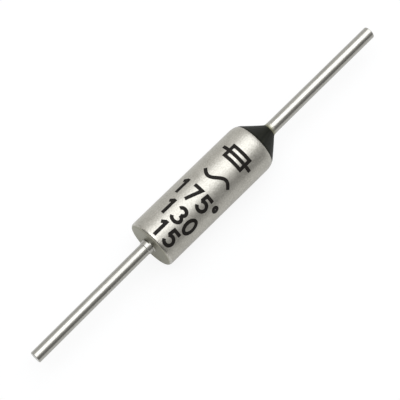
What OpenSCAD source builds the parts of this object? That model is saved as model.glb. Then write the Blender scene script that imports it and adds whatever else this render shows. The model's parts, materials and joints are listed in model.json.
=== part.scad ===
// Axial thermal fuse with a melting pellet, cut-off type, for use in series with a heater.
// The axis lies along X and the middle of the case is the origin. The case lead leaves
// towards -X and the isolated lead, in its cone of sealing resin, towards +X.
// All lengths are in millimetres.

/* [Case] */
// Outside diameter of the drawn case
case_d = 4; // [3.6:0.1:5]
// Length of the case, from its closed end to the end of the rolled lip
case_len = 10.85; // [10:0.05:14]
// Thickness of the drawn wall
case_wall = 0.3; // [0.25:0.01:0.4]
// Thickness of the closed end
case_floor = 0.35; // [0.25:0.01:0.6]
// Outside corner radius of the closed end
case_corner = 0.25; // [0.1:0.05:0.6]
// Inside corner radius of the closed end
floor_fillet = 0.1; // [0.05:0.01:0.2]
// Depth to which the mouth is bored out, so that the bushing has a seat
mouth_step = 0.1; // [0.05:0.01:0.15]
// Outside bend radius of the rolled lip
lip_bend = 1.6; // [0.9:0.05:1.7]
// Angle through which the lip is rolled in
lip_angle = 21; // [16:1:30]

/* [Leads] */
// Diameter of the case lead's tinned wire
case_lead_d = 0.95; // [0.7:0.05:1.2]
// Diameter of the isolated lead's tinned wire
isolated_lead_d = 1; // [0.7:0.05:1.2]
// Length of the case lead outside the closed end
case_lead_len = 11.5; // [5:0.5:35]
// Length of the isolated lead beyond the rolled lip
isolated_lead_len = 12.8; // [5:0.1:35]
// Edge radius of the cut tips
tip_round = 0.06; // [0.02:0.01:0.15]
// Height of the collar on the case lead above the wire
collar_step = 0.08; // [0.05:0.01:0.2]
// Length of the collar on the case lead
collar_len = 0.38; // [0.25:0.01:0.6]
// How much wider the collar is against the case than at its free edge, on the radius
collar_draft = 0.02; // [0.01:0.01:0.05]
// Diameter of the tenon on the case lead, which passes through the closed end
tenon_d = 0.6; // [0.5:0.05:0.65]
// Height of the riveted head inside the closed end above the tenon
rivet_step = 0.6; // [0.3:0.05:0.8]
// Thickness of the riveted head
rivet_t = 0.3; // [0.2:0.05:0.5]
// Height of the contact head of the isolated lead above the wire
contact_head_step = 0.3; // [0.2:0.05:0.35]
// Thickness of the contact head
contact_head_t = 0.3; // [0.2:0.05:0.5]
// Edge radius of both heads
head_round = 0.1; // [0.05:0.01:0.15]
// Length of the waist rolled into the isolated lead, which keys it into the resin
waist_len = 0.6; // [0.5:0.05:0.9]
// Depth of that waist
waist_depth = 0.06; // [0.03:0.01:0.1]

/* [Thermal pellet] */
// Length of the pellet
pellet_len = 2.6; // [1.8:0.1:3.2]
// Radial clearance of the pellet in the case
pellet_clear = 0.08; // [0.04:0.01:0.2]
// Bevel around both ends of the pellet
pellet_bevel = 0.15; // [0.05:0.01:0.3]

/* [Discs and star contact] */
// Thickness of the two pressure discs
disc_t = 0.2; // [0.15:0.01:0.3]
// Radial clearance of the pellet disc in the case
disc_clear = 0.08; // [0.04:0.01:0.2]
// Sheet thickness of the star contact
contact_t = 0.12; // [0.08:0.01:0.16]
// Outside bend radius of its fingers
contact_bend = 0.4; // [0.25:0.05:0.5]
// Depth of the cup that the fingers form
contact_depth = 0.9; // [0.7:0.05:1.2]
// Radial clearance of the fingers in the case
contact_clear = 0.02; // [0.01:0.01:0.05]
// Number of fingers
finger_count = 8; // [5:1:10]
// Width of the slots between the fingers
slot_w = 0.3; // [0.15:0.05:0.4]
// Radius at which the slots begin
slot_root = 0.8; // [0.7:0.05:1]

/* [Springs] */
// Wire diameter of the barrel spring
barrel_wire = 0.32; // [0.25:0.01:0.36]
// Least pitch of the barrel spring
barrel_pitch = 0.75; // [0.75:0.05:1]
// Wire diameter of the trip spring
trip_wire = 0.2; // [0.15:0.01:0.24]
// Least pitch of the trip spring
trip_pitch = 0.5; // [0.5:0.05:0.9]
// Radial clearance of the springs from what surrounds them
spring_clear = 0.08; // [0.04:0.01:0.15]

/* [Ceramic bushing] */
// Length of the flange that sits in the mouth
flange_len = 2; // [1.5:0.1:2.6]
// Length of the nose that carries the contact head
nose_len = 1.9; // [1.5:0.1:2.3]
// Wall of the nose around the lead
nose_wall = 0.35; // [0.3:0.01:0.45]
// Edge radius of the nose
nose_round = 0.08; // [0.04:0.01:0.15]
// Radial clearance of the bushing in the mouth
bushing_clear = 0.02; // [0.01:0.01:0.04]
// Radial clearance of the lead in the bushing
bore_clear = 0.03; // [0.01:0.01:0.06]

/* [Sealing resin] */
// Half angle of the resin cone
cone_angle = 39.5; // [34:0.5:48]
// Radius of the resin's shoulder between the lip and the cone
resin_round = 1; // [0.6:0.05:1.5]
// How far the resin's surface lies below the lip's where the two meet
resin_sink = 0.01; // [0.005:0.005:0.05]
// Radius of the meniscus where the resin runs out along the lead
meniscus_r = 0.5; // [0.2:0.05:0.9]

/* [Hidden] */
$fn = 64;

// Cuts run this far past the faces that they open
overcut = 0.5;
// The bushing's shoulder ends this many degrees before the lip does
shoulder_lead = 5;
// Each spring lies flat on its seats for this share of a turn
flat_turns = 0.5;
// The active turns of a spring are counted in this many parts of a turn
turn_parts = 4;
// Sections in one turn of a spring, and corners of its wire
turn_steps = 24;
wire_sides = 8;

// Radii
case_r = case_d / 2;
bore_r = case_r - case_wall;
mouth_r = bore_r + mouth_step;
mouth_wall = case_r - mouth_r;
case_lead_r = case_lead_d / 2;
isolated_lead_r = isolated_lead_d / 2;
tenon_r = tenon_d / 2;
nose_bore_r = isolated_lead_r + bore_clear;
nose_r = nose_bore_r + nose_wall;
star_r = bore_r - contact_clear;
contact_disc_r = star_r - contact_bend;

// Places along the axis, from the closed end towards the mouth
closed_end = -case_len / 2;
floor_face = closed_end + case_floor;
pellet_seat = floor_face + rivet_t;
pellet_end = pellet_seat + pellet_len;
barrel_start = pellet_end + disc_t;

// Places along the axis, from the mouth back towards the closed end
lip_end = case_len / 2;
lip_mid_r = lip_bend - mouth_wall / 2;
lip_start = lip_end - lip_mid_r * sin(lip_angle) - mouth_wall / 2;
flange_face = lip_start - flange_len;
nose_tip = flange_face - nose_len;
star_face = nose_tip - contact_head_t;
contact_disc_end = star_face - contact_t;
barrel_end = contact_disc_end - disc_t;

// The lip bends about lip_centre, and its edge is round about lip_edge
lip_centre = [case_r - lip_bend, lip_start];
lip_edge = lip_centre + lip_mid_r * [cos(lip_angle), sin(lip_angle)];

// The bushing's shoulder follows the inside of the lip
shoulder_r = lip_bend - mouth_wall - bushing_clear;
shoulder_h = shoulder_r * sin(lip_angle - shoulder_lead);
bushing_end = lip_start + shoulder_h;

// The resin's shoulder carries on from the lip as far as cone_start, where the straight cone begins,
// and its meniscus touches the lead at resin_tip
resin_centre = lip_centre + (lip_bend - resin_round) * [cos(lip_angle), sin(lip_angle)];
resin_bend = resin_round - resin_sink;
cone_start = resin_centre + resin_bend * [cos(cone_angle), sin(cone_angle)];
meniscus_centre_r = isolated_lead_r + meniscus_r;
meniscus_gap = meniscus_centre_r - cone_start[0];
resin_tip = cone_start[1] + (meniscus_r - meniscus_gap * cos(cone_angle)) / sin(cone_angle);
cone_end = [meniscus_centre_r, resin_tip] - meniscus_r * [cos(cone_angle), sin(cone_angle)];

// The waist is an arc across the surface of the lead, and it ends where the resin does
waist_r = (pow(waist_len / 2, 2) + pow(waist_depth, 2)) / (2 * waist_depth);
waist_centre = [isolated_lead_r - waist_depth + waist_r, resin_tip - waist_len / 2];

// Mean radii of the springs: the barrel spring's end coils lie flush with the rim of the contact disc
barrel_mid_r = star_r - contact_t - spring_clear - barrel_wire / 2;
barrel_end_r = contact_disc_r - barrel_wire / 2;
trip_small_r = nose_r + spring_clear + trip_wire / 2;
trip_large_r = bore_r - spring_clear - trip_wire / 2;

// Colours of the finishes
nickel = "#b9b6ac";
tinned_copper = "#cfcdc6";
pellet_colour = "#d8d2bd";
steel = "#9a9c9e";
silver = "#dcdcd8";
alumina = "#efe9dc";
resin_black = "#2b2b29";

// Lays a shape that is modelled along Z with its axis along X
module along_axis() {
    rotate([0, 90, 0]) children();
}

// Turns a half section, with the radius across and the axis upwards, into a solid
module turned() {
    along_axis() rotate_extrude() children();
}

// Half section of a bar whose far rim is rounded
module rounded_bar_2d(radius, length, round) {
    square([radius, length - round]);
    square([radius - round, length]);
    translate([radius - round, length - round]) circle(round);
}

// Puts a half section at a place along the axis, facing the mouth or the closed end
module towards_mouth(start) {
    translate([0, start]) children();
}
module towards_closed_end(start) {
    translate([0, start]) mirror([0, 1]) children();
}

// Stretch of a ring, as thick as the wall of the mouth
module bend_2d(centre, outer_r, start_angle, end_angle) {
    sector_reach = 2 * outer_r;
    translate(centre) intersection() {
        difference() {
            circle(outer_r);
            circle(outer_r - mouth_wall);
        }
        polygon([
            [0, 0],
            sector_reach * [cos(start_angle), sin(start_angle)],
            sector_reach * [cos(end_angle), sin(end_angle)],
        ]);
    }
}

// Rolled lip: an arc of the thinned wall with a round edge
module lip_2d() {
    bend_2d(lip_centre, lip_bend, 0, lip_angle);
    translate(lip_edge) circle(mouth_wall / 2);
}

// Drawn cup with a round corner, a hole for the case lead and a stepped mouth
module case_2d() {
    difference() {
        towards_closed_end(lip_start) rounded_bar_2d(case_r, lip_start - closed_end, case_corner);
        towards_closed_end(lip_start + overcut)
            rounded_bar_2d(bore_r, lip_start + overcut - floor_face, floor_fillet);
        towards_mouth(flange_face) square([mouth_r, flange_len + overcut]);
        towards_mouth(closed_end - overcut) square([tenon_r, case_floor + 2 * overcut]);
    }
    lip_2d();
}

module case() {
    color(nickel) turned() case_2d();
}

// Upset collar that bears on the closed end: a drafted bar with a round free edge
module collar_2d() {
    collar_r = case_lead_r + collar_step;
    straight_len = collar_len - collar_step;
    rounded_bar_2d(collar_r, collar_len, collar_step);
    polygon([[0, 0], [collar_r + collar_draft, 0], [collar_r, straight_len], [0, straight_len]]);
}

// Tinned wire with a collar outside the closed end, a tenon through it and a riveted head inside
module case_lead() {
    color(tinned_copper) turned() {
        towards_closed_end(closed_end) {
            rounded_bar_2d(case_lead_r, case_lead_len, tip_round);
            collar_2d();
        }
        towards_mouth(closed_end) square([tenon_r, case_floor]);
        towards_mouth(floor_face) rounded_bar_2d(tenon_r + rivet_step, rivet_t, head_round);
    }
}

// Pressed tablet that melts at the rated temperature
module thermal_pellet() {
    pellet_r = bore_r - pellet_clear;
    color(pellet_colour) turned() polygon([
        [0, pellet_seat],
        [pellet_r - pellet_bevel, pellet_seat],
        [pellet_r, pellet_seat + pellet_bevel],
        [pellet_r, pellet_end - pellet_bevel],
        [pellet_r - pellet_bevel, pellet_end],
        [0, pellet_end],
    ]);
}

// Spreads the barrel spring's force over the pellet
module pellet_disc() {
    color(steel) turned() towards_mouth(pellet_end) square([bore_r - disc_clear, disc_t]);
}

// Spreads the barrel spring's force over the star contact
module contact_disc() {
    color(steel) turned() towards_mouth(barrel_end) square([contact_disc_r, disc_t]);
}

// Cup of thin sheet, slotted into fingers that slide on the wall of the case
module star_contact() {
    cup_start = star_face - contact_depth;
    hollow_depth = contact_depth - contact_t;
    color(silver) along_axis() difference() {
        rotate_extrude() difference() {
            towards_mouth(cup_start) rounded_bar_2d(star_r, contact_depth, contact_bend);
            towards_mouth(cup_start - overcut)
                rounded_bar_2d(star_r - contact_t, hollow_depth + overcut, contact_bend - contact_t);
        }
        for (finger = [0 : finger_count - 1])
            rotate([0, 0, finger * 360 / finger_count])
                translate([slot_root, -slot_w / 2, cup_start - overcut])
                    cube([star_r, slot_w, contact_depth + 2 * overcut]);
    }
}

// Active turns of a spring that fit a length at the given pitch or more
function active_turns(length, wire, pitch) =
    max(1, floor((length - wire) / pitch * turn_parts) / turn_parts);

// Corners of the wire's section at one step of a spring: flat towards both seats
function wire_ring(radius, place, angle, wire) =
    let (corner_r = wire / 2 / cos(180 / wire_sides))
    [for (side = [0 : wire_sides - 1])
        let (
            turn = (side + 0.5) * 360 / wire_sides,
            out = radius + corner_r * cos(turn)
        )
        [out * cos(angle), out * sin(angle), place + corner_r * sin(turn)]];

// Compression spring from start to end, whose mean radius goes from one end's to the other's
// and bulges in between, with a flat half turn on each seat
module spring(start, end, wire, pitch, start_r, end_r, bulge) {
    length = end - start;
    active = active_turns(length, wire, pitch);
    steps = ceil((active + 2 * flat_turns) * turn_steps);
    rings = [for (step = [0 : steps])
        let (
            turn = step / turn_steps,
            share = min(1, max(0, (turn - flat_turns) / active)),
            radius = start_r + (end_r - start_r) * share + bulge * sin(180 * share)
        )
        wire_ring(radius, start + wire / 2 + share * (length - wire), turn * 360, wire)];
    last = steps * wire_sides;
    along_axis() polyhedron(
        points = [for (ring = rings) each ring],
        faces = [
            [for (side = [0 : wire_sides - 1]) side],
            [for (side = [wire_sides - 1 : -1 : 0]) last + side],
            for (step = [0 : steps - 1])
                for (side = [0 : wire_sides - 1])
                    let (
                        here = step * wire_sides + side,
                        beside = step * wire_sides + (side + 1) % wire_sides,
                        next = here + wire_sides
                    )
                    each [[here, next, beside], [beside, next, beside + wire_sides]]
        ]
    );
}

// Strong spring, which holds the star contact against the isolated lead while the pellet is solid
module barrel_spring() {
    color(steel)
        spring(barrel_start, barrel_end, barrel_wire, barrel_pitch, barrel_end_r, barrel_end_r,
               barrel_mid_r - barrel_end_r);
}

// Weak conical spring, which pushes the star contact away once the pellet has melted
module trip_spring() {
    color(steel)
        spring(star_face, flange_face, trip_wire, trip_pitch, trip_small_r, trip_large_r, 0);
}

// Insulator that carries the isolated lead: a flange under the lip and a nose inside the trip spring
module ceramic_bushing() {
    color(alumina) turned() difference() {
        union() {
            towards_mouth(flange_face) square([mouth_r - bushing_clear, flange_len]);
            towards_closed_end(flange_face) rounded_bar_2d(nose_r, nose_len, nose_round);
            towards_mouth(lip_start) {
                square([lip_centre[0], shoulder_h]);
                translate([lip_centre[0], 0]) intersection() {
                    circle(shoulder_r);
                    square([shoulder_r, shoulder_h]);
                }
            }
        }
        towards_mouth(nose_tip - overcut)
            square([nose_bore_r, bushing_end - nose_tip + 2 * overcut]);
    }
}

// Tinned wire whose flat head touches the star contact, with a waist inside the resin
module isolated_lead_2d() {
    difference() {
        union() {
            towards_closed_end(nose_tip)
                rounded_bar_2d(isolated_lead_r + contact_head_step, contact_head_t, head_round);
            towards_mouth(nose_tip)
                rounded_bar_2d(isolated_lead_r, lip_end + isolated_lead_len - nose_tip, tip_round);
        }
        translate(waist_centre) circle(waist_r);
    }
}

module isolated_lead() {
    color(tinned_copper) turned() isolated_lead_2d();
}

// Cast cone that closes the mouth: it wets the bushing, the lip's edge and the lead
module sealing_resin() {
    color(resin_black) turned() difference() {
        union() {
            bend_2d(resin_centre, resin_bend, lip_angle, cone_angle);
            polygon([
                [0, bushing_end],
                [lip_edge[0], bushing_end],
                lip_edge,
                cone_start,
                cone_end,
                [isolated_lead_r, resin_tip],
                [0, resin_tip],
            ]);
        }
        lip_2d();
        isolated_lead_2d();
        translate([meniscus_centre_r, resin_tip]) circle(meniscus_r);
    }
}

case();
case_lead();
thermal_pellet();
pellet_disc();
barrel_spring();
contact_disc();
star_contact();
trip_spring();
ceramic_bushing();
isolated_lead();
sealing_resin();
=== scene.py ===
import json
import math

import bpy
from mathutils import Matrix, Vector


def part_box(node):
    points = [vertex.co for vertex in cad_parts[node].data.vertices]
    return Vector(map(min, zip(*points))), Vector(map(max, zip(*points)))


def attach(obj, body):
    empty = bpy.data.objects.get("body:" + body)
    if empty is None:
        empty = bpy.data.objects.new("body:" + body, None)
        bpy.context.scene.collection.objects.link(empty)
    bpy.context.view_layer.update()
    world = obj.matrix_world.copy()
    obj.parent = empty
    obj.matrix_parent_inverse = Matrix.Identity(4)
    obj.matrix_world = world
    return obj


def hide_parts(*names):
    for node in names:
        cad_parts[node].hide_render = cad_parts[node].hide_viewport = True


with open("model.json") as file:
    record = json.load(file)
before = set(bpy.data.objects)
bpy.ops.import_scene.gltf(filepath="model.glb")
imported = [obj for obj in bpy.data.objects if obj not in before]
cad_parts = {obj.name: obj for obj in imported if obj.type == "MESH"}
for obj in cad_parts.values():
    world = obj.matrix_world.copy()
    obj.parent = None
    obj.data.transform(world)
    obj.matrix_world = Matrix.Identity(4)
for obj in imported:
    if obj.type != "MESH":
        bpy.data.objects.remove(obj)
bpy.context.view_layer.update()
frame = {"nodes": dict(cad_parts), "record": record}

# Case
# A cup drawn from brass sheet and nickel plated, with a flat closed end and a satin skin from tumbling.
# Its mouth is thinned on the inside and, when the fuse is full, rolled in over the shoulder of the bushing.
mm = 0.001
mounts = {mount["name"]: mount["dims"] for mount in frame["record"]["mounts"]}
case_low, case_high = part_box("case")
case_r = mounts["case_body"]["r_mm"] * mm
closed_end = case_low.x
lip_end = case_high.x
case_wall = 0.3 * mm
case_floor = 0.35 * mm
case_corner = 0.25 * mm
floor_fillet = 0.1 * mm
mouth_wall = 0.2 * mm
lip_bend = 1.6 * mm
lip_angle = 21
tenon_r = 0.3 * mm
floor_face = closed_end + case_floor
bore_r = case_r - case_wall
mouth_r = case_r - mouth_wall
flange_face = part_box("trip_spring")[1].x
lip_mid_r = lip_bend - mouth_wall / 2
lip_start = lip_end - lip_mid_r * math.sin(math.radians(lip_angle)) - mouth_wall / 2
lip_centre = (lip_start, case_r - lip_bend)


def arc(centre, radius, start, end, steps):
    """Points of a round in the half section, as (place along the axis, distance from it).
    The angles are in degrees from straight out, and grow towards the mouth."""
    turns = [math.radians(start + (end - start) * step / steps) for step in range(steps + 1)]
    return [(centre[0] + radius * math.sin(a), centre[1] + radius * math.cos(a)) for a in turns]


lip_edge = arc(lip_centre, lip_mid_r, lip_angle, lip_angle, 1)[0]


def draw_line(name, points, longest):
    """Starts a piece as a line through the points, and leaves it open for editing."""
    bpy.ops.object.select_all(action="DESELECT")
    bpy.ops.mesh.primitive_plane_add(size=longest)
    piece = bpy.context.object
    piece.name = name
    piece.data.name = name
    bpy.ops.object.mode_set(mode="EDIT")
    bpy.ops.mesh.select_mode(type="VERT")
    bpy.ops.mesh.select_all(action="SELECT")
    bpy.ops.mesh.merge(type="CENTER")
    bpy.ops.transform.translate(value=points[0])
    for here, there in zip(points, points[1:]):
        parts = max(1, math.ceil(math.dist(here, there) / longest))
        step = [(b - a) / parts for a, b in zip(here, there)]
        for _ in range(parts):
            bpy.ops.mesh.extrude_region_move(TRANSFORM_OT_translate={"value": step})
    bpy.ops.mesh.select_all(action="SELECT")
    return piece


def turn_on_lathe(name, outline, longest=0.25 * mm, turn_steps=144):
    """Draws half a section above the axis and spins it round the axis."""
    piece = draw_line(name, [(along, 0, out) for along, out in outline], longest)
    bpy.ops.mesh.spin(steps=turn_steps, angle=2 * math.pi, center=(0, 0, 0), axis=(1, 0, 0))
    bpy.ops.mesh.select_all(action="SELECT")
    bpy.ops.mesh.remove_doubles(threshold=0.001 * mm)
    bpy.ops.mesh.normals_make_consistent(inside=False)
    bpy.ops.object.mode_set(mode="OBJECT")
    bpy.ops.object.shade_smooth_by_angle(angle=math.radians(30))
    return piece


case = turn_on_lathe("drawn_case", [
    (closed_end, tenon_r),
    *arc((closed_end + case_corner, case_r - case_corner), case_corner, -90, 0, 12),
    *arc(lip_centre, lip_bend, 0, lip_angle, 12),
    *arc(lip_edge, mouth_wall / 2, lip_angle, lip_angle + 180, 12),
    *arc(lip_centre, lip_bend - mouth_wall, lip_angle, 0, 8),
    (flange_face, mouth_r),
    (flange_face, bore_r),
    *arc((floor_face + floor_fillet, bore_r - floor_fillet), floor_fillet, 0, -90, 6),
    (floor_face, tenon_r),
    (closed_end, tenon_r),
])


def colour(code):
    """Linear colour of an sRGB hex value."""
    shares = [int(code[place:place + 2], 16) / 255 for place in (1, 3, 5)]
    linear = [s / 12.92 if s <= 0.04045 else ((s + 0.055) / 1.055) ** 2.4 for s in shares]
    return (*linear, 1)


def add_node(tree, kind, inputs=None, **settings):
    """Adds a node. An input is given a value, or a link when it comes as an output of another node."""
    node = tree.nodes.new(kind)
    for name, value in settings.items():
        setattr(node, name, value)
    for socket, value in (inputs or {}).items():
        if isinstance(value, bpy.types.NodeSocket):
            tree.links.new(value, node.inputs[socket])
        else:
            node.inputs[socket].default_value = value
    return node


def start_material(name):
    """A material with its own nodes, and their Principled shader."""
    material = bpy.data.materials.new(name)
    material.use_nodes = True
    return material.node_tree, material.node_tree.nodes["Principled BSDF"], material


# Satin nickel on drawn brass: soft broad reflections, a slightly warm grey, clouded and finely dimpled by
# the tumbling, with faint lines along the case from the drawing die.
# The grain of a few microns is too fine to show, so it is drawn at 0.07 mm. The tumbling polishes the
# corner of the closed end most and reaches its flat least, so the flat is rougher. The flat is also given a
# darker colour, which is painted shade.
tree, shader, nickel = start_material("satin_nickel_plate")
cloud_size = 1.2 * mm
grain_size = 0.07 * mm
dimple_size = 0.1 * mm
die_line_width = 0.09 * mm
die_line_length = 4 * mm
dimple_share = 0.7
corner_roughness = 0.22
end_face_roughness = 0.42
place = add_node(tree, "ShaderNodeTexCoord").outputs["Object"]
clouds = add_node(tree, "ShaderNodeTexNoise", {"Vector": place, "Scale": 1 / cloud_size, "Detail": 3})
grain = add_node(tree, "ShaderNodeTexNoise", {"Vector": place, "Scale": 1 / grain_size, "Detail": 2})
dimples = add_node(tree, "ShaderNodeTexNoise", {"Vector": place, "Scale": 1 / dimple_size, "Detail": 1})
drawn = add_node(tree, "ShaderNodeMapping", {
    "Vector": place,
    "Scale": (1 / die_line_length, 1 / die_line_width, 1 / die_line_width),
})
die_lines = add_node(tree, "ShaderNodeTexNoise", {
    "Vector": drawn.outputs["Vector"], "Scale": 1, "Detail": 2,
})
mottle = add_node(tree, "ShaderNodeMix", {
    "Factor": dimple_share, 2: clouds.outputs["Fac"], 3: dimples.outputs["Fac"],
})
tint = add_node(tree, "ShaderNodeValToRGB", {"Fac": mottle.outputs[0]})
tint.color_ramp.elements[0].position = 0.32
tint.color_ramp.elements[0].color = colour("#9d9a91")
tint.color_ramp.elements[1].position = 0.68
tint.color_ramp.elements[1].color = colour("#b8b5ac")
satin = add_node(tree, "ShaderNodeMapRange", {
    "Value": clouds.outputs["Fac"], "From Min": 0.3, "From Max": 0.7, "To Min": 0.42, "To Max": 0.45,
})
grain_bump = add_node(tree, "ShaderNodeBump", {
    "Height": grain.outputs["Fac"], "Strength": 1, "Distance": 0.004 * mm,
})
dimple_bump = add_node(tree, "ShaderNodeBump", {
    "Height": dimples.outputs["Fac"], "Strength": 1, "Distance": 0.014 * mm,
    "Normal": grain_bump.outputs["Normal"],
})
line_bump = add_node(tree, "ShaderNodeBump", {
    "Height": die_lines.outputs["Fac"], "Strength": 1, "Distance": 0.003 * mm,
    "Normal": dimple_bump.outputs["Normal"],
})
shader.inputs["Metallic"].default_value = 1
along = add_node(tree, "ShaderNodeSeparateXYZ", {"Vector": place})
end_face = add_node(tree, "ShaderNodeMapRange", {
    "Value": along.outputs["X"], "From Min": closed_end + 0.02 * mm, "From Max": closed_end + 0.12 * mm,
    "To Min": 1, "To Max": 0,
})
# Painted shade: the flat of the closed end is given a darker colour, #898778, so that it looks darker
# there.
dull_patches_and_painted_shade = add_node(tree, "ShaderNodeMix", {
    "Factor": end_face.outputs["Result"], 6: tint.outputs["Color"], 7: colour("#898778"),
}, data_type="RGBA")
past_corner = add_node(tree, "ShaderNodeMapRange", {
    "Value": along.outputs["X"], "From Min": closed_end + 0.2 * mm, "From Max": closed_end + 0.3 * mm,
})
corner_polish = add_node(tree, "ShaderNodeMix", {
    "Factor": past_corner.outputs["Result"], 2: corner_roughness, 3: satin.outputs["Result"],
})
gloss = add_node(tree, "ShaderNodeMix", {
    "Factor": end_face.outputs["Result"], 2: corner_polish.outputs[0], 3: end_face_roughness,
})
tree.links.new(dull_patches_and_painted_shade.outputs[2], shader.inputs["Base Color"])
tree.links.new(gloss.outputs[0], shader.inputs["Roughness"])
tree.links.new(line_bump.outputs["Normal"], shader.inputs["Normal"])
case.data.materials.append(nickel)
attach(case, "root")
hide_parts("case")

# Case lead
# A tinned copper wire with a collar upset near its end, drafted as it comes out of the upsetting die.
# Its tenon goes through the closed end, and the head that is riveted over inside clamps the case against
# the collar.
case_lead_low, case_lead_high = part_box("case_lead")
case_lead_r = mounts["case_lead"]["r_mm"] * mm
tip_round = 0.06 * mm
collar_draft = 12
collar_outer_round = 0.1 * mm
collar_inner_round = 0.3 * mm
outer_round_centre = (closed_end - 0.36 * mm, 0.42 * mm)
inner_round_centre = (closed_end - 0.07 * mm, 0.277 * mm)
foot_r = inner_round_centre[1] + collar_inner_round
rivet_r = 0.9 * mm
head_round = 0.1 * mm
case_lead_tip = case_lead_low.x
case_lead_root_shift = 0.105 * mm
case_lead_tip_shift = -0.03 * mm
pellet_seat = case_lead_high.x
wire_angle = math.degrees(math.acos((case_lead_r - outer_round_centre[1]) / collar_outer_round))

case_lead = turn_on_lathe("case_lead_wire", [
    (case_lead_tip, 0),
    *arc((case_lead_tip + tip_round, case_lead_r - tip_round), tip_round, -90, 0, 8),
    *arc(outer_round_centre, collar_outer_round, -wire_angle, -collar_draft, 10),
    *arc(inner_round_centre, collar_inner_round, -collar_draft, 0, 6),
    (closed_end, foot_r),
    (closed_end, tenon_r),
    (floor_face, tenon_r),
    (floor_face, rivet_r),
    *arc((pellet_seat - head_round, rivet_r - head_round), head_round, 0, 90, 6),
    (pellet_seat, 0),
], turn_steps=96)


def lean(wire, start, end, start_shift, end_shift):
    """Lets the free stretch of a wire lean a little to one side, as wires straightened by hand do."""
    for point in wire.data.vertices:
        share = (point.co.x - start) / (end - start)
        if share >= 0:
            point.co.y += start_shift + (end_shift - start_shift) * share


lean(case_lead, closed_end, case_lead_tip, case_lead_root_shift, case_lead_tip_shift)

# Tinned copper wire, dipped and wiped: brighter and glossier than the case, with fine lines along it
# from the wiping and long soft waves in the tin.
tree, shader, tin = start_material("tinned_copper_wire")
wipe_width = 0.06 * mm
wipe_length = 2.5 * mm
wave_size = 0.5 * mm
place = add_node(tree, "ShaderNodeTexCoord").outputs["Object"]
wiped = add_node(tree, "ShaderNodeMapping", {
    "Vector": place,
    "Scale": (1 / wipe_length, 1 / wipe_width, 1 / wipe_width),
})
wipe_lines = add_node(tree, "ShaderNodeTexNoise", {
    "Vector": wiped.outputs["Vector"], "Scale": 1, "Detail": 2,
})
waves = add_node(tree, "ShaderNodeTexNoise", {"Vector": place, "Scale": 1 / wave_size, "Detail": 1})
tint = add_node(tree, "ShaderNodeValToRGB", {"Fac": wipe_lines.outputs["Fac"]})
tint.color_ramp.elements[0].position = 0.3
tint.color_ramp.elements[0].color = colour("#999790")
tint.color_ramp.elements[1].position = 0.7
tint.color_ramp.elements[1].color = colour("#aaa8a1")
polish = add_node(tree, "ShaderNodeMapRange", {
    "Value": waves.outputs["Fac"], "From Min": 0.3, "From Max": 0.7, "To Min": 0.18, "To Max": 0.26,
})
wave_bump = add_node(tree, "ShaderNodeBump", {
    "Height": waves.outputs["Fac"], "Strength": 1, "Distance": 0.008 * mm,
})
wipe_bump = add_node(tree, "ShaderNodeBump", {
    "Height": wipe_lines.outputs["Fac"], "Strength": 1, "Distance": 0.003 * mm,
    "Normal": wave_bump.outputs["Normal"],
})
shader.inputs["Metallic"].default_value = 1
tree.links.new(tint.outputs["Color"], shader.inputs["Base Color"])
tree.links.new(polish.outputs["Result"], shader.inputs["Roughness"])
tree.links.new(wipe_bump.outputs["Normal"], shader.inputs["Normal"])
case_lead.data.materials.append(tin)
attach(case_lead, "root")
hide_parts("case_lead")


# Thermal pellet
# A tablet pressed from an organic powder that melts sharply at the rated temperature.
# It fills the closed end and lies loose there, held down by the barrel spring.
def dress(nodes, material):
    """Gives pieces that come with the frame their finish."""
    for node in nodes:
        frame["nodes"][node].data.materials.clear()
        frame["nodes"][node].data.materials.append(material)


# Pressed powder: matt, cream, with specks of the coarser grains.
tree, shader, powder = start_material("pressed_organic_powder")
speck_size = 0.12 * mm
place = add_node(tree, "ShaderNodeTexCoord").outputs["Object"]
specks = add_node(tree, "ShaderNodeTexNoise", {"Vector": place, "Scale": 1 / speck_size, "Detail": 3})
tint = add_node(tree, "ShaderNodeValToRGB", {"Fac": specks.outputs["Fac"]})
tint.color_ramp.elements[0].position = 0.35
tint.color_ramp.elements[0].color = colour("#c9c2a8")
tint.color_ramp.elements[1].position = 0.6
tint.color_ramp.elements[1].color = colour("#ddd7c2")
speck_bump = add_node(tree, "ShaderNodeBump", {
    "Height": specks.outputs["Fac"], "Strength": 1, "Distance": 0.02 * mm,
})
shader.inputs["Roughness"].default_value = 0.85
tree.links.new(tint.outputs["Color"], shader.inputs["Base Color"])
tree.links.new(speck_bump.outputs["Normal"], shader.inputs["Normal"])
dress(["thermal_pellet"], powder)

# Pressure discs
# Two flat discs stamped from steel sheet. They lie loose on the ends of the barrel spring and spread
# its force over the pellet and over the star contact.
# Rolled steel sheet: bright, with the mill's lines running one way.
tree, shader, sheet = start_material("rolled_steel_sheet")
mill_line_width = 0.04 * mm
mill_line_length = 1.5 * mm
place = add_node(tree, "ShaderNodeTexCoord").outputs["Object"]
rolled = add_node(tree, "ShaderNodeMapping", {
    "Vector": place,
    "Scale": (1 / mill_line_width, 1 / mill_line_width, 1 / mill_line_length),
})
mill_lines = add_node(tree, "ShaderNodeTexNoise", {
    "Vector": rolled.outputs["Vector"], "Scale": 1, "Detail": 2,
})
tint = add_node(tree, "ShaderNodeValToRGB", {"Fac": mill_lines.outputs["Fac"]})
tint.color_ramp.elements[0].position = 0.3
tint.color_ramp.elements[0].color = colour("#8d9092")
tint.color_ramp.elements[1].position = 0.7
tint.color_ramp.elements[1].color = colour("#a6a9ab")
mill_bump = add_node(tree, "ShaderNodeBump", {
    "Height": mill_lines.outputs["Fac"], "Strength": 1, "Distance": 0.002 * mm,
})
shader.inputs["Metallic"].default_value = 1
shader.inputs["Roughness"].default_value = 0.3
tree.links.new(tint.outputs["Color"], shader.inputs["Base Color"])
tree.links.new(mill_bump.outputs["Normal"], shader.inputs["Normal"])
dress(["pellet_disc", "contact_disc"], sheet)

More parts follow.
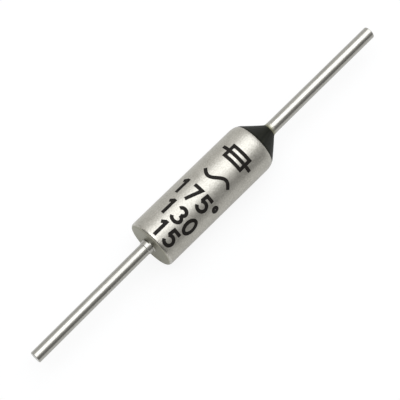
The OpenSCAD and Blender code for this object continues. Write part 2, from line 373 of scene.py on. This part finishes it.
# Springs
# Two compression springs coiled from drawn steel wire, with flat end turns. The strong barrel spring holds
# the contact closed, and the weak conical one opens it when the pellet has melted.
# Drawn spring steel: grey and bright, with faint patches left by the coiling and the heat treatment.
tree, shader, spring_wire = start_material("drawn_spring_steel")
patch_size = 0.25 * mm
place = add_node(tree, "ShaderNodeTexCoord").outputs["Object"]
patches = add_node(tree, "ShaderNodeTexNoise", {"Vector": place, "Scale": 1 / patch_size, "Detail": 3})
tint = add_node(tree, "ShaderNodeValToRGB", {"Fac": patches.outputs["Fac"]})
tint.color_ramp.elements[0].position = 0.3
tint.color_ramp.elements[0].color = colour("#7f8284")
tint.color_ramp.elements[1].position = 0.7
tint.color_ramp.elements[1].color = colour("#999c9e")
patch_polish = add_node(tree, "ShaderNodeMapRange", {
    "Value": patches.outputs["Fac"], "From Min": 0.3, "From Max": 0.7, "To Min": 0.25, "To Max": 0.4,
})
shader.inputs["Metallic"].default_value = 1
tree.links.new(tint.outputs["Color"], shader.inputs["Base Color"])
tree.links.new(patch_polish.outputs["Result"], shader.inputs["Roughness"])
dress(["barrel_spring", "trip_spring"], spring_wire)

# Star contact
# A shallow cup pressed from silver alloy sheet and slotted into eight fingers, which slide on the bore
# of the case and carry the current from it to the isolated lead.
# Silver alloy sheet: pale and satin, a little dulled in patches.
tree, shader, silver = start_material("silver_alloy_sheet")
dull_size = 0.4 * mm
place = add_node(tree, "ShaderNodeTexCoord").outputs["Object"]
dull_patches_and_painted_shade = add_node(tree, "ShaderNodeTexNoise", {"Vector": place, "Scale": 1 / dull_size, "Detail": 3})
tint = add_node(tree, "ShaderNodeValToRGB", {"Fac": dull_patches_and_painted_shade.outputs["Fac"]})
tint.color_ramp.elements[0].position = 0.35
tint.color_ramp.elements[0].color = colour("#d3d2cb")
tint.color_ramp.elements[1].position = 0.65
tint.color_ramp.elements[1].color = colour("#e3e3df")
dull_polish = add_node(tree, "ShaderNodeMapRange", {
    "Value": dull_patches_and_painted_shade.outputs["Fac"], "From Min": 0.3, "From Max": 0.7, "To Min": 0.38, "To Max": 0.26,
})
shader.inputs["Metallic"].default_value = 1
tree.links.new(tint.outputs["Color"], shader.inputs["Base Color"])
tree.links.new(dull_polish.outputs["Result"], shader.inputs["Roughness"])
dress(["star_contact"], silver)

# Ceramic bushing
# An insulator pressed and fired from alumina. Its flange sits in the mouth of the case under the rolled
# lip, and its nose carries the isolated lead inside the trip spring.
# Unglazed alumina: off-white and matt, with a fine sintered grain.
tree, shader, alumina = start_material("fired_alumina")
sinter_size = 0.05 * mm
place = add_node(tree, "ShaderNodeTexCoord").outputs["Object"]
sinter = add_node(tree, "ShaderNodeTexNoise", {"Vector": place, "Scale": 1 / sinter_size, "Detail": 2})
tint = add_node(tree, "ShaderNodeValToRGB", {"Fac": sinter.outputs["Fac"]})
tint.color_ramp.elements[0].position = 0.3
tint.color_ramp.elements[0].color = colour("#e6dfd0")
tint.color_ramp.elements[1].position = 0.7
tint.color_ramp.elements[1].color = colour("#f0ebdf")
sinter_bump = add_node(tree, "ShaderNodeBump", {
    "Height": sinter.outputs["Fac"], "Strength": 1, "Distance": 0.006 * mm,
})
shader.inputs["Roughness"].default_value = 0.7
shader.inputs["IOR"].default_value = 1.76
tree.links.new(tint.outputs["Color"], shader.inputs["Base Color"])
tree.links.new(sinter_bump.outputs["Normal"], shader.inputs["Normal"])
dress(["ceramic_bushing"], alumina)

# Isolated lead
# A tinned wire a little thicker than the other, with a flat contact head upset on its inner end. It runs
# through the bushing, and a waist rolled into it keys it into the resin.
isolated_low, isolated_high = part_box("isolated_lead")
isolated_lead_r = mounts["isolated_lead"]["r_mm"] * mm
resin_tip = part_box("sealing_resin")[1].x
star_face = isolated_low.x
isolated_tip = isolated_high.x
isolated_tip_shift = 0.05 * mm
contact_head_r = isolated_lead_r + 0.3 * mm
contact_head_t = 0.3 * mm
nose_tip = star_face + contact_head_t
waist_len = 0.6 * mm
waist_depth = 0.06 * mm
waist_r = ((waist_len / 2) ** 2 + waist_depth ** 2) / (2 * waist_depth)
waist_centre = (resin_tip - waist_len / 2, isolated_lead_r - waist_depth + waist_r)
waist_reach = math.degrees(math.asin(waist_len / 2 / waist_r))

isolated_lead = turn_on_lathe("isolated_lead_wire", [
    (star_face, 0),
    *arc((star_face + head_round, contact_head_r - head_round), head_round, -90, 0, 6),
    (nose_tip, contact_head_r),
    (nose_tip, isolated_lead_r),
    *arc(waist_centre, waist_r, 180 + waist_reach, 180 - waist_reach, 10),
    *arc((isolated_tip - tip_round, isolated_lead_r - tip_round), tip_round, 0, 90, 8),
    (isolated_tip, 0),
], turn_steps=96)
lean(isolated_lead, resin_tip, isolated_tip, 0, isolated_tip_shift)
isolated_lead.data.materials.append(tin)
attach(isolated_lead, "root")
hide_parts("isolated_lead")

# Sealing resin
# Black epoxy, cast over the bushing from a nozzle. It wets the edge of the lip, rounds off into a cone, a
# little fuller on one side, and runs out along the lead in a meniscus that ends in a see-through film.
bushing_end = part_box("ceramic_bushing")[1].x
cone_angle = 39.5
cone_lean = 0.022 * mm
meniscus_r = 0.5 * mm
meniscus_centre = (resin_tip, isolated_lead_r + meniscus_r)
resin_round = 1 * mm
resin_sink = 0.01 * mm
film_start = 8
film_len = 0.12 * mm
film_t = 0.003 * mm
film_waver = 0.03 * mm
under_tin = 0.02 * mm
inner_lip_r = lip_bend - mouth_wall
seat_angle = math.degrees(math.asin((bushing_end - lip_start) / inner_lip_r))
edge_r = mouth_wall / 2
resin_bend = resin_round - resin_sink
resin_centre = arc(lip_centre, lip_bend - resin_round, lip_angle, lip_angle, 1)[0]
edge_away = resin_round - edge_r
edge_share = (resin_bend ** 2 - edge_away ** 2 - edge_r ** 2) / (2 * edge_away * edge_r)
wet_angle = lip_angle + math.degrees(math.acos(edge_share))
wet_x, wet_r = arc(lip_edge, edge_r, wet_angle, wet_angle, 1)[0]
bend_angle = math.degrees(math.atan2(wet_x - resin_centre[0], wet_r - resin_centre[1]))

resin = turn_on_lathe("sealing_resin_cone", [
    (bushing_end, isolated_lead_r - under_tin),
    *arc(lip_centre, inner_lip_r, seat_angle, lip_angle, 4),
    *arc(lip_edge, edge_r, lip_angle + 180, wet_angle, 12),
    *arc(resin_centre, resin_bend, bend_angle, cone_angle, 8),
    *arc(meniscus_centre, meniscus_r, 180 + cone_angle, 180 + film_start, 12),
    (resin_tip + film_len, isolated_lead_r + film_t),
    (resin_tip + film_len, isolated_lead_r - under_tin),
    *arc(waist_centre, waist_r + under_tin, 180 - waist_reach, 180 + waist_reach, 10),
    (bushing_end, isolated_lead_r - under_tin),
], longest=0.1 * mm)
for point in resin.data.vertices:
    turn = math.atan2(point.co.y, point.co.z)
    film_share = max(0, (point.co.x - resin_tip) / film_len)
    cone_share = min(1, max(0, (point.co.x - wet_x) / (resin_tip - wet_x)))
    point.co.x += film_waver * film_share * (math.sin(2 * turn + 0.7) + 0.5 * math.sin(5 * turn))
    point.co.y -= cone_lean * math.sin(math.pi * cone_share)

# Cast epoxy: black and satin, with faint paler streaks down the cone where it ran, and olive where the film
# on the lead is so thin that the tin shows through it.
tree, shader, epoxy = start_material("black_cast_epoxy")
streak_count = 9
streak_length = 1.5 * mm
skin_size = 0.15 * mm
film_edge = resin_tip - 0.27 * mm
film_fade = 0.04 * mm
film_roughness = 0.22
place = add_node(tree, "ShaderNodeTexCoord").outputs["Object"]
axes = add_node(tree, "ShaderNodeSeparateXYZ", {"Vector": place})
bearing = add_node(tree, "ShaderNodeMath", {
    0: axes.outputs["Y"], 1: axes.outputs["Z"],
}, operation="ARCTAN2")
round_the_cone = add_node(tree, "ShaderNodeCombineXYZ", {
    "X": axes.outputs["X"], "Y": bearing.outputs["Value"],
})
run = add_node(tree, "ShaderNodeMapping", {
    "Vector": round_the_cone.outputs["Vector"],
    "Scale": (1 / streak_length, streak_count, 1),
})
streaks = add_node(tree, "ShaderNodeTexNoise", {"Vector": run.outputs["Vector"], "Scale": 1, "Detail": 3})
skin = add_node(tree, "ShaderNodeTexNoise", {"Vector": place, "Scale": 1 / skin_size, "Detail": 2})
black = add_node(tree, "ShaderNodeValToRGB", {"Fac": streaks.outputs["Fac"]})
black.color_ramp.elements[0].position = 0.35
black.color_ramp.elements[0].color = colour("#0d0e09")
black.color_ramp.elements[1].position = 0.7
black.color_ramp.elements[1].color = colour("#1c1d15")
thinned = add_node(tree, "ShaderNodeMapRange", {
    "Value": axes.outputs["X"], "From Min": film_edge, "From Max": film_edge + film_fade,
})
along_film = add_node(tree, "ShaderNodeMapRange", {
    "Value": axes.outputs["X"], "From Min": film_edge, "From Max": resin_tip + film_len,
})
film = add_node(tree, "ShaderNodeValToRGB", {"Fac": along_film.outputs["Result"]})
film.color_ramp.elements[0].position = 0.1
film.color_ramp.elements[0].color = colour("#77755e")
film.color_ramp.elements[1].position = 0.8
film.color_ramp.elements[1].color = colour("#a4a298")
olive = add_node(tree, "ShaderNodeMix", {
    "Factor": thinned.outputs["Result"], 6: black.outputs["Color"], 7: film.outputs["Color"],
}, data_type="RGBA")
matt = add_node(tree, "ShaderNodeMapRange", {
    "Value": streaks.outputs["Fac"], "From Min": 0.3, "From Max": 0.7, "To Min": 0.46, "To Max": 0.58,
})
film_gloss = add_node(tree, "ShaderNodeMix", {
    "Factor": along_film.outputs["Result"], 2: matt.outputs["Result"], 3: film_roughness,
})
skin_bump = add_node(tree, "ShaderNodeBump", {
    "Height": skin.outputs["Fac"], "Strength": 1, "Distance": 0.004 * mm,
})
streak_bump = add_node(tree, "ShaderNodeBump", {
    "Height": streaks.outputs["Fac"], "Strength": 1, "Distance": 0.02 * mm,
    "Normal": skin_bump.outputs["Normal"],
})
shader.inputs["Specular IOR Level"].default_value = 0.085
tree.links.new(olive.outputs[2], shader.inputs["Base Color"])
tree.links.new(thinned.outputs["Result"], shader.inputs["Metallic"])
tree.links.new(film_gloss.outputs[0], shader.inputs["Roughness"])
tree.links.new(streak_bump.outputs["Normal"], shader.inputs["Normal"])
resin.data.materials.append(epoxy)
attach(resin, "root")
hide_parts("sealing_resin")

# Printed marks
# Five rows of plain marks, stamped across the case in black ink as it rolls over a rubber pad: the graphic
# symbol of a fuse, the wave of alternating current, and plain numbers.
ink_above = 0.006 * mm
ink_below = 0.004 * mm
strip_width = 0.1 * mm
pen_width = 0.28
pen_step = 0.08
cell = 1.17
facing = math.radians(14.7)


def round_line(middle, across, up, start, end, steps=24):
    """Points of an oval line from one angle to another, in degrees, anticlockwise from the right."""
    turns = [math.radians(start + (end - start) * step / steps) for step in range(steps + 1)]
    return [(middle[0] + across * math.cos(a), middle[1] + up * math.sin(a)) for a in turns]


# The pen lines of each sign, in millimetres, in a cell whose middle is the zero point.
signs = {
    "fuse": [
        [(-1.45, 0), (1.45, 0)],
        [(0, 0.5), (0.8, 0.5), (0.8, -0.5), (-0.8, -0.5), (-0.8, 0.5), (0, 0.5)],
    ],
    "wave": [[(0.05 * step, 0.34 * math.sin(math.pi * step / 24)) for step in range(-24, 25)]],
    "0": [round_line((0, 0), 0.36, 0.59, 0, 360, 48)],
    "1": [[(0.1, -0.71), (0.1, 0.71)], [(-0.26, 0.36), (0.1, 0.6)]],
    "3": [
        round_line((-0.03, 0.31), 0.33, 0.28, 165, -80),
        round_line((-0.03, -0.28), 0.39, 0.31, 80, -165),
    ],
    "5": [
        [(0.36, 0.59), (-0.26, 0.59), (-0.32, 0.06)],
        round_line((-0.02, -0.22), 0.38, 0.37, 145, -155),
    ],
    "7": [[(-0.38, 0.59), (0.36, 0.59), (-0.12, -0.71)]],
    "degree": [round_line((-0.2, 0.46), 0.17, 0.17, 0, 360)],
}


def pen_line(points):
    """A broad line of ink, drawn flat in millimetres: a wall along the line, given its breadth."""
    line = draw_line("pen_line", [(across, up, 0) for across, up in points], pen_step)
    bpy.ops.mesh.remove_doubles(threshold=pen_step / 10)
    bpy.ops.mesh.select_all(action="SELECT")
    bpy.ops.mesh.extrude_region_move(TRANSFORM_OT_translate={"value": (0, 0, 1)})
    bpy.ops.mesh.select_all(action="SELECT")
    bpy.ops.mesh.normals_make_consistent(inside=False)
    bpy.ops.object.mode_set(mode="OBJECT")
    breadth = line.modifiers.new("breadth", "SOLIDIFY")
    breadth.thickness = pen_width
    breadth.offset = 0
    breadth.use_even_offset = True
    bpy.ops.object.modifier_apply(modifier="breadth")
    return line


def stamp_row(name, row_signs, place, slide):
    """Draws a row of signs flat, melts its lines into one and rolls it onto the case."""
    first = -cell * (len(row_signs) - 1) / 2
    lines = [
        pen_line([(across + first + cell * index, up) for across, up in points])
        for index, sign in enumerate(row_signs) for points in signs[sign]
    ]
    row = lines[0]
    row.name = name
    row.data.name = name
    for line in lines[1:]:
        melt = row.modifiers.new("melt", "BOOLEAN")
        melt.operation = "UNION"
        melt.object = line
        bpy.context.view_layer.objects.active = row
        bpy.ops.object.modifier_apply(modifier="melt")
        bpy.data.objects.remove(line)
    bpy.ops.object.select_all(action="DESELECT")
    row.select_set(True)
    bpy.context.view_layer.objects.active = row
    bpy.ops.object.mode_set(mode="EDIT")
    widest = max(abs(point.co.x) for point in row.data.vertices)
    cuts = math.floor(widest * mm / strip_width)
    for cut in range(-cuts, cuts + 1):
        bpy.ops.mesh.select_all(action="SELECT")
        bpy.ops.mesh.bisect(plane_co=(cut * strip_width / mm, 0, 0), plane_no=(1, 0, 0), threshold=0.00001)
    bpy.ops.object.mode_set(mode="OBJECT")
    for point in row.data.vertices:
        bearing = facing + (point.co.x * mm + slide) / case_r
        height = case_r + (ink_above if point.co.z > 0.5 else -ink_below)
        point.co = (place + point.co.y * mm, -height * math.sin(bearing), height * math.cos(bearing))
    return row


rows = [
    stamp_row("print_fuse_symbol", ["fuse"], 3.31 * mm, -0.2 * mm),
    stamp_row("print_wave", ["wave"], 1.16 * mm, -0.15 * mm),
    stamp_row("print_number_1", ["1", "7", "5", "degree"], -0.91 * mm, 0),
    stamp_row("print_number_2", ["1", "3", "0"], -2.76 * mm, -0.1 * mm),
    stamp_row("print_number_3", ["1", "5"], -4.36 * mm, 0.1 * mm),
]

# Stamping ink: a thin black coat, nearly matt, a little starved in spots where the pad did not quite touch.
tree, shader, ink = start_material("black_stamping_ink")
starved_size = 0.12 * mm
place = add_node(tree, "ShaderNodeTexCoord").outputs["Object"]
starved = add_node(tree, "ShaderNodeTexNoise", {"Vector": place, "Scale": 1 / starved_size, "Detail": 3})
tint = add_node(tree, "ShaderNodeValToRGB", {"Fac": starved.outputs["Fac"]})
tint.color_ramp.elements[0].position = 0.3
tint.color_ramp.elements[0].color = colour("#0e0c0a")
tint.color_ramp.elements[1].position = 0.75
tint.color_ramp.elements[1].color = colour("#1f1c18")
ink_bump = add_node(tree, "ShaderNodeBump", {
    "Height": starved.outputs["Fac"], "Strength": 1, "Distance": 0.003 * mm,
})
shader.inputs["Roughness"].default_value = 0.55
shader.inputs["Specular IOR Level"].default_value = 0.1
tree.links.new(tint.outputs["Color"], shader.inputs["Base Color"])
tree.links.new(ink_bump.outputs["Normal"], shader.inputs["Normal"])
for row in rows:
    row.data.materials.append(ink)
    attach(row, "root")

# Floor
# A wide sheet of white studio paper, on which the case lies.
floor_size = 4
bpy.ops.object.select_all(action="DESELECT")
bpy.ops.mesh.primitive_plane_add(size=floor_size, location=(0, 0, -case_r))
floor = bpy.context.object
floor.name = "studio_floor"
tree, shader, paper = start_material("white_studio_paper")
seen_glow = 0.88
mirrored_glow = 0.36
shader.inputs["Base Color"].default_value = colour("#dcdcdb")
shader.inputs["Roughness"].default_value = 0.9
seen = add_node(tree, "ShaderNodeLightPath")
mirrored = add_node(tree, "ShaderNodeMath", {
    0: seen.outputs["Is Glossy Ray"], 1: seen.outputs["Is Transmission Ray"],
}, operation="MAXIMUM")
mirrored_share = add_node(tree, "ShaderNodeMath", {
    0: mirrored.outputs["Value"], 1: mirrored_glow,
}, operation="MULTIPLY")
seen_share = add_node(tree, "ShaderNodeMath", {
    0: seen.outputs["Is Camera Ray"], 1: seen_glow,
}, operation="MULTIPLY")
share = add_node(tree, "ShaderNodeMath", {
    0: seen_share.outputs["Value"], 1: mirrored_share.outputs["Value"],
}, operation="MAXIMUM")
white = add_node(tree, "ShaderNodeEmission", {"Color": colour("#ffffff"), "Strength": 1})
lightened = add_node(tree, "ShaderNodeMixShader", {
    "Fac": share.outputs["Value"], 1: shader.outputs["BSDF"], 2: white.outputs["Emission"],
})
tree.links.new(lightened.outputs["Shader"], tree.nodes["Material Output"].inputs["Surface"])
floor.data.materials.append(paper)

# Studio light
# One long soft box overhead, a little to the far side and towards the isolated lead. The pale room is grey
# low on the near side, dim beyond the isolated lead, and dark between the soft box and the wall beyond the
# case lead.
soft_box_aim = (0.2, 0.1253, 0.9718)
soft_box_distance = 0.3
soft_box_long = 0.56
soft_box_wide = 0.319
soft_box_watts = 1.28
dark_gap_strength = 0.12
far_end_strength = 0.4
bpy.ops.object.light_add(type="AREA", location=[soft_box_distance * a for a in soft_box_aim])
soft_box = bpy.context.object
soft_box.name = "soft_box"
soft_box.rotation_euler = (-math.asin(soft_box_aim[1]), math.atan2(soft_box_aim[0], soft_box_aim[2]), 0)
soft_box.data.shape = "RECTANGLE"
soft_box.data.size = soft_box_long
soft_box.data.size_y = soft_box_wide
soft_box.data.energy = soft_box_watts
soft_box.data.color = colour("#f5f8ff")[:3]

room = bpy.data.worlds.new("grey_room")
bpy.context.scene.world = room
room.use_nodes = True
tree = room.node_tree
towards = add_node(tree, "ShaderNodeTexCoord").outputs["Generated"]
axes = add_node(tree, "ShaderNodeSeparateXYZ", {"Vector": towards})
across = add_node(tree, "ShaderNodeMapRange", {"Value": axes.outputs["Y"], "From Min": -1, "From Max": 1})
walls = add_node(tree, "ShaderNodeValToRGB", {"Fac": across.outputs["Result"]})
wall_greys = [
    (0, "#989898"), (0.03, "#929292"), (0.08, "#9c9c9c"), (0.16, "#b8b8b8"),
    (0.3, "#ffffff"), (0.95, "#ffffff"), (0.98, "#dcdcdc"), (1, "#dcdcdc"),
]
while len(walls.color_ramp.elements) < len(wall_greys):
    walls.color_ramp.elements.new(1)
for element, (position, grey) in zip(walls.color_ramp.elements, wall_greys):
    element.position = position
    element.color = colour(grey)
near_end = add_node(tree, "ShaderNodeMapRange", {
    "Value": axes.outputs["X"], "From Min": -0.92, "From Max": -0.82, "To Min": 1, "To Max": 0,
})
overhead = add_node(tree, "ShaderNodeMapRange", {
    "Value": axes.outputs["X"], "From Min": -0.65, "From Max": -0.5,
})
lit = add_node(tree, "ShaderNodeMath", {
    0: near_end.outputs["Result"], 1: overhead.outputs["Result"],
}, operation="MAXIMUM")
strength = add_node(tree, "ShaderNodeMapRange", {
    "Value": lit.outputs["Value"], "To Min": dark_gap_strength, "To Max": 1,
})
far_end = add_node(tree, "ShaderNodeMapRange", {
    "Value": axes.outputs["X"], "From Min": 0.62, "From Max": 0.85, "To Min": 1, "To Max": far_end_strength,
})
room_strength = add_node(tree, "ShaderNodeMath", {
    0: strength.outputs["Result"], 1: far_end.outputs["Result"],
}, operation="MULTIPLY")
tree.links.new(walls.outputs["Color"], tree.nodes["Background"].inputs["Color"])
tree.links.new(room_strength.outputs["Value"], tree.nodes["Background"].inputs["Strength"])

# Camera
# A long lens from above, with the closed end nearer, as in the photograph.
view_bearing = math.radians(-46.06)
view_height = math.radians(69.26)
view_distance = 0.12
lens = 148.4
picture_side = 400
case_middle = (202.38, 195.10)
bpy.ops.object.camera_add(location=(
    view_distance * math.sin(view_bearing) * math.cos(view_height),
    -view_distance * math.cos(view_bearing) * math.cos(view_height),
    view_distance * math.sin(view_height),
))
camera = bpy.context.object
camera.rotation_euler = (math.pi / 2 - view_height, 0, view_bearing)
camera.data.lens = lens
camera.data.clip_start = mm
camera.data.clip_end = 10
camera.data.shift_x = (picture_side / 2 - case_middle[0]) / picture_side
camera.data.shift_y = (case_middle[1] - picture_side / 2) / picture_side
bpy.context.scene.camera = camera
bpy.context.scene.view_settings.view_transform = "Standard"
